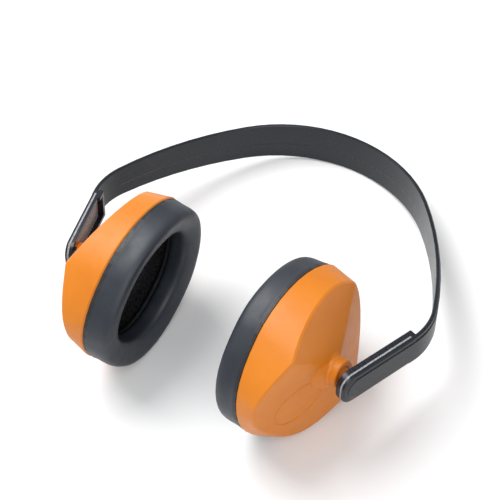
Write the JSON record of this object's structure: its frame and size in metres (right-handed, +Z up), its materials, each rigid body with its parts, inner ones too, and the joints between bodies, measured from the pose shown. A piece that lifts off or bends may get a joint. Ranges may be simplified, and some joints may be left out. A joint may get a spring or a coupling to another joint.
{
  "type": "hearing protection earmuffs",
  "caption": "Passive hearing protection earmuffs: a sprung plastic headband whose channelled arms carry ball-mounted cups with foam-filled ear cushions.",
  "frame": {"origin": "on the resting surface, under the centre of the bounding box, with the muff lying on both cups and the crown of its band", "axes": "+X from the left cup to the right cup, +Y from the cups to the crown of the band, +Z up"},
  "size_m": [0.1974, 0.1892, 0.0805],
  "materials": {
    "band_black": "satin moulded",
    "shell_orange": "satin moulded",
    "plate_black": "fine matte",
    "cushion_black": "soft vinyl skin",
    "foam_grey": "open-cell foam"
  },
  "bodies": {
    "headband": {"headband": "band_black"},
    "left_slider": {"left_slider": "shell_orange"},
    "left_stud": {"left_pivot_stud": "shell_orange"},
    "left_cup": {"left_cup_shell": "shell_orange", "left_cushion_plate": "plate_black", "left_cushion_cover": "cushion_black", "left_cushion_foam": "foam_grey", "left_foam_liner": "foam_grey"},
    "right_slider": {"right_slider": "shell_orange"},
    "right_stud": {"right_pivot_stud": "shell_orange"},
    "right_cup": {"right_cup_shell": "shell_orange", "right_cushion_plate": "plate_black", "right_cushion_cover": "cushion_black", "right_cushion_foam": "foam_grey", "right_foam_liner": "foam_grey"}
  },
  "joints": [
    {"name": "left_height_slide", "type": "slide", "parent": "headband", "child": "left_slider", "axis": [-0.3102, 0.9242, -0.2227], "range_m": [0, 0.028]},
    {"name": "left_stud_twist", "type": "hinge", "parent": "left_slider", "child": "left_stud", "pos_m": [-0.07349, -0.04888, 0.04366], "axis": [-0.9506, -0.3039, 0.0632], "range_deg": [-20, 45]},
    {"name": "left_ball_swing", "type": "hinge", "parent": "left_stud", "child": "left_cup", "pos_m": [-0.07349, -0.04888, 0.04366], "axis": [-0.0092, 0.2313, 0.9728], "range_deg": [-3, 18]},
    {"name": "right_height_slide", "type": "slide", "parent": "headband", "child": "right_slider", "axis": [0.3144, 0.9242, -0.2167], "range_m": [0, 0.028]},
    {"name": "right_stud_twist", "type": "hinge", "parent": "right_slider", "child": "right_stud", "pos_m": [0.0733, -0.04888, 0.04505], "axis": [0.9492, -0.3039, 0.0812], "range_deg": [-40, 20]},
    {"name": "right_ball_swing", "type": "hinge", "parent": "right_stud", "child": "right_cup", "pos_m": [0.0733, -0.04888, 0.04505], "axis": [-0.0092, 0.2313, 0.9728], "range_deg": [-12, 9]}
  ]
}
